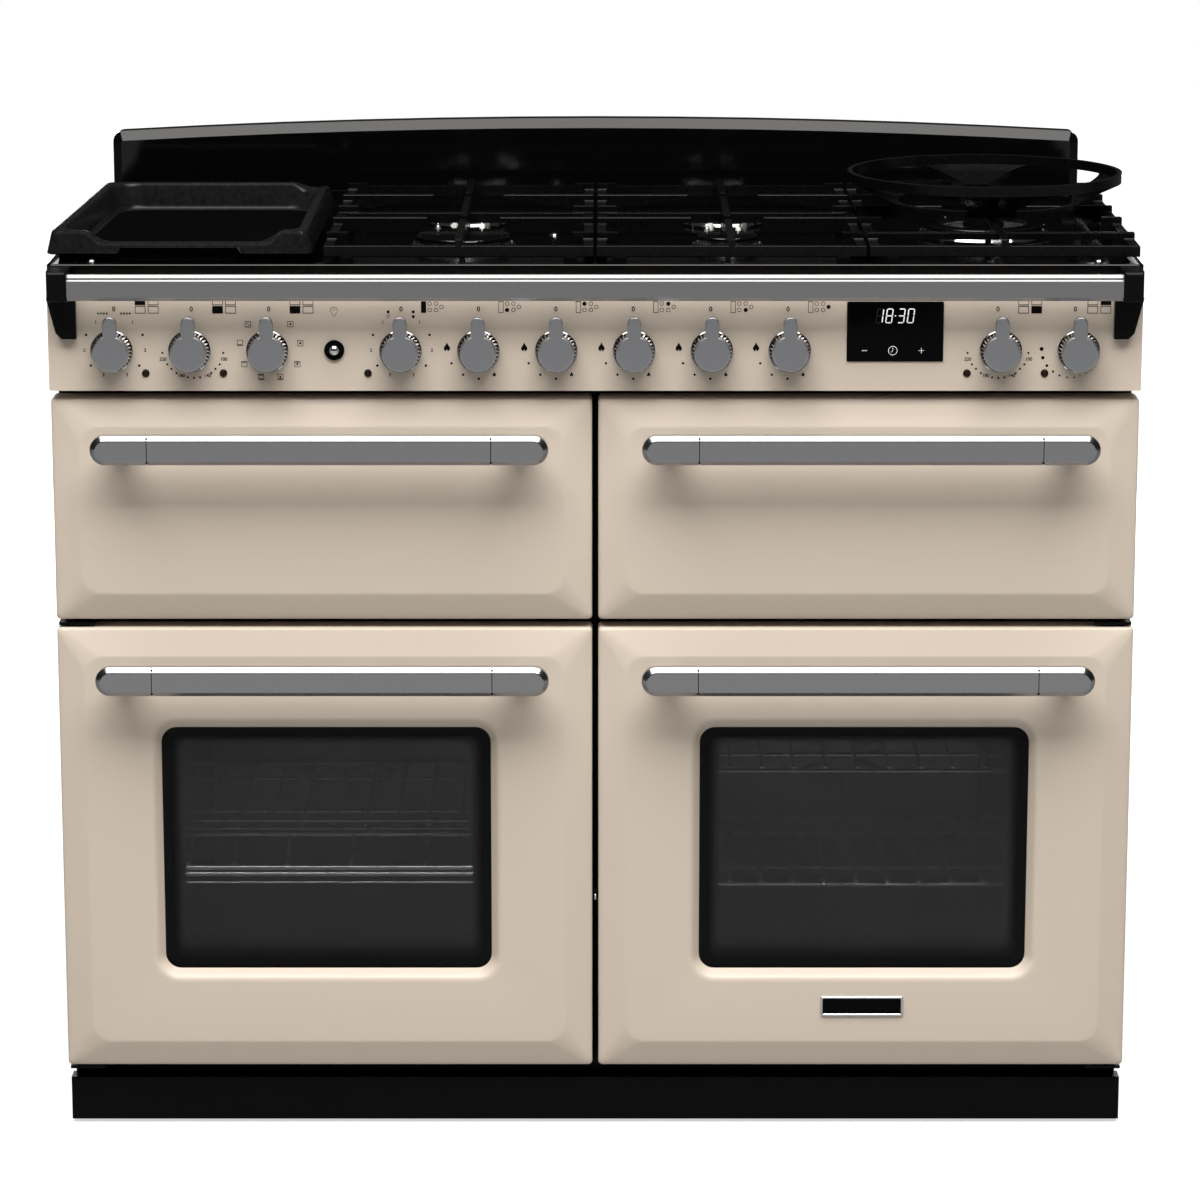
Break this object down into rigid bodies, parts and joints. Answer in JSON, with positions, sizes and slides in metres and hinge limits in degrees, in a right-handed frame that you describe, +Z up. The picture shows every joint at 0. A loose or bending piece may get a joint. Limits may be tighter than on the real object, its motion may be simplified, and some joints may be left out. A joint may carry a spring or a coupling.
{
  "type": "range cooker",
  "caption": "Free-standing range cooker with a gas hob, griddle and wok ring, side-hinged ovens, pull-out grill and slow-cook drawers, a knob fascia and a front handrail.",
  "frame": {"origin": "on the floor, at the middle of the cooker's width and of its depth from the handle fronts to the back edge", "axes": "+Z up, +X to the cooker's right as seen from the front, the front faces -Y"},
  "size_m": [1.1012, 0.656, 0.985],
  "materials": {
    "cream_enamel": "gloss vitreous enamel",
    "black_enamel": "gloss black enamel",
    "black_paint": "satin black paint",
    "grey_enamel": "speckled dark oven enamel",
    "zinc_sheet": "galvanised sheet",
    "steel": "satin steel",
    "chrome": "bright chrome plate",
    "iron": "matt black enamelled cast iron",
    "dark_glass": "tinted toughened glass",
    "alloy": "cast alloy",
    "brass": "machined brass and plated pipe",
    "seal": "heatproof woven and rubber seal",
    "black_plastic": "gloss moulding",
    "element": "oxidised steel sheath"
  },
  "bodies": {
    "cooker": {"base_frame": "zinc_sheet", "levelling_feet": "zinc_sheet", "plinth": "black_paint", "outer_panels": "black_paint", "front_frame": "black_paint", "oven_cavities": "grey_enamel", "upper_chambers": "grey_enamel", "runners_and_hinges": "zinc_sheet", "oven_door_seals": "seal", "oven_racks": "chrome", "oven_fans": "zinc_sheet", "heating_elements": "element", "terminal_box": "zinc_sheet", "gas_supply": "brass", "control_switches": "black_plastic", "hob_tray": "black_enamel", "rear_upstand": "black_enamel", "burner_heads": "alloy", "burner_caps": "black_enamel", "pan_supports": "iron", "control_fascia": "cream_enamel", "fascia_fittings": "black_plastic", "handrail": "steel", "handrail_brackets": "black_paint"},
    "left_door": {"left_door_panel": "cream_enamel", "left_door_glass": "dark_glass", "left_door_liner": "grey_enamel", "left_door_handle": "steel", "left_door_rack": "chrome"},
    "right_door": {"right_door_panel": "cream_enamel", "right_door_glass": "dark_glass", "right_door_liner": "grey_enamel", "right_door_handle": "steel"},
    "grill_drawer": {"grill_front": "cream_enamel", "grill_handle": "steel", "grill_carriage": "chrome"},
    "slow_cook": {"slow_cook_front": "cream_enamel", "slow_cook_handle": "steel", "slow_cook_drawer": "grey_enamel"},
    "left_fan": {"left_fan_impeller": "zinc_sheet"},
    "right_fan": {"right_fan_impeller": "zinc_sheet"},
    "griddle_plate": {"griddle": "iron"},
    "wok_stand": {"wok_ring": "iron"},
    "light_push": {"light_button": "chrome"},
    "dial_grill": {"knob_grill": "chrome"},
    "dial_left_oven": {"knob_left_oven": "chrome"},
    "dial_function": {"knob_function": "chrome"},
    "dial_griddle": {"knob_griddle": "chrome"},
    "dial_right_oven": {"knob_right_oven": "chrome"},
    "dial_slow_cook": {"knob_slow_cook": "chrome"},
    "spindle_turn_front_left": {"spindle_front_left": "brass"},
    "dial_front_left": {"knob_front_left": "chrome"},
    "spindle_turn_rear_left": {"spindle_rear_left": "brass"},
    "dial_rear_left": {"knob_rear_left": "chrome"},
    "spindle_turn_rear_centre": {"spindle_rear_centre": "brass"},
    "dial_rear_centre": {"knob_rear_centre": "chrome"},
    "spindle_turn_front_centre": {"spindle_front_centre": "brass"},
    "dial_front_centre": {"knob_front_centre": "chrome"},
    "spindle_turn_wok": {"spindle_wok": "brass"},
    "dial_wok": {"knob_wok": "chrome"}
  },
  "joints": [
    {"name": "turn_grill", "type": "hinge", "parent": "cooker", "child": "dial_grill", "pos_m": [-0.482, -0.29, 0.8185], "axis": [0, 1, 0], "range_deg": [-153, 153]},
    {"name": "turn_left_oven", "type": "hinge", "parent": "cooker", "child": "dial_left_oven", "pos_m": [-0.4044, -0.29, 0.8185], "axis": [0, 1, 0], "range_deg": [0, 258]},
    {"name": "turn_function", "type": "hinge", "parent": "cooker", "child": "dial_function", "pos_m": [-0.3268, -0.29, 0.8185], "axis": [0, 1, 0], "continuous": true},
    {"name": "turn_griddle", "type": "hinge", "parent": "cooker", "child": "dial_griddle", "pos_m": [-0.194, -0.29, 0.8185], "axis": [0, 1, 0], "range_deg": [-153, 153]},
    {"name": "turn_right_oven", "type": "hinge", "parent": "cooker", "child": "dial_right_oven", "pos_m": [0.4044, -0.29, 0.8185], "axis": [0, 1, 0], "range_deg": [0, 258]},
    {"name": "turn_slow_cook", "type": "hinge", "parent": "cooker", "child": "dial_slow_cook", "pos_m": [0.482, -0.29, 0.8185], "axis": [0, 1, 0], "range_deg": [0, 266]},
    {"name": "turn_front_left", "type": "hinge", "parent": "cooker", "child": "spindle_turn_front_left", "pos_m": [-0.1164, -0.27, 0.8185], "axis": [0, -1, 0], "range_deg": [0, 217]},
    {"name": "push_front_left", "type": "slide", "parent": "spindle_turn_front_left", "child": "dial_front_left", "axis": [0, 1, 0], "range_m": [0, 0.004], "stiffness_N_per_m": 900},
    {"name": "turn_rear_left", "type": "hinge", "parent": "cooker", "child": "spindle_turn_rear_left", "pos_m": [-0.0388, -0.27, 0.8185], "axis": [0, -1, 0], "range_deg": [0, 217]},
    {"name": "push_rear_left", "type": "slide", "parent": "spindle_turn_rear_left", "child": "dial_rear_left", "axis": [0, 1, 0], "range_m": [0, 0.004], "stiffness_N_per_m": 900},
    {"name": "turn_rear_centre", "type": "hinge", "parent": "cooker", "child": "spindle_turn_rear_centre", "pos_m": [0.0388, -0.27, 0.8185], "axis": [0, -1, 0], "range_deg": [0, 217]},
    {"name": "push_rear_centre", "type": "slide", "parent": "spindle_turn_rear_centre", "child": "dial_rear_centre", "axis": [0, 1, 0], "range_m": [0, 0.004], "stiffness_N_per_m": 900},
    {"name": "turn_front_centre", "type": "hinge", "parent": "cooker", "child": "spindle_turn_front_centre", "pos_m": [0.1164, -0.27, 0.8185], "axis": [0, -1, 0], "range_deg": [0, 217]},
    {"name": "push_front_centre", "type": "slide", "parent": "spindle_turn_front_centre", "child": "dial_front_centre", "axis": [0, 1, 0], "range_m": [0, 0.004], "stiffness_N_per_m": 900},
    {"name": "turn_wok", "type": "hinge", "parent": "cooker", "child": "spindle_turn_wok", "pos_m": [0.194, -0.27, 0.8185], "axis": [0, -1, 0], "range_deg": [0, 217]},
    {"name": "push_wok", "type": "slide", "parent": "spindle_turn_wok", "child": "dial_wok", "axis": [0, 1, 0], "range_m": [0, 0.004], "stiffness_N_per_m": 900},
    {"name": "push_light", "type": "slide", "parent": "cooker", "child": "light_push", "axis": [0, 1, 0], "range_m": [0, 0.003], "stiffness_N_per_m": 500},
    {"name": "spin_left_fan", "type": "hinge", "parent": "cooker", "child": "left_fan", "pos_m": [-0.27455, 0.145, 0.30025], "axis": [0, 1, 0], "continuous": true},
    {"name": "spin_right_fan", "type": "hinge", "parent": "cooker", "child": "right_fan", "pos_m": [0.27455, 0.145, 0.30025], "axis": [0, 1, 0], "continuous": true},
    {"name": "pull_grill", "type": "slide", "parent": "cooker", "child": "grill_drawer", "axis": [0, -1, 0], "range_m": [0, 0.3]},
    {"name": "pull_slow_cook", "type": "slide", "parent": "cooker", "child": "slow_cook", "axis": [0, -1, 0], "range_m": [0, 0.3]},
    {"name": "swing_left_door", "type": "hinge", "parent": "cooker", "child": "left_door", "pos_m": [-0.534, -0.26, 0.3], "axis": [0, 0, -1], "range_deg": [0, 100]},
    {"name": "swing_right_door", "type": "hinge", "parent": "cooker", "child": "right_door", "pos_m": [0.534, -0.26, 0.3], "axis": [0, 0, 1], "range_deg": [0, 100]},
    {"name": "lift_griddle", "type": "slide", "parent": "cooker", "child": "griddle_plate", "axis": [0, 0, 1], "range_m": [0, 0.15]},
    {"name": "lift_wok_ring", "type": "slide", "parent": "cooker", "child": "wok_stand", "axis": [0, 0, 1], "range_m": [0, 0.15]}
  ]
}
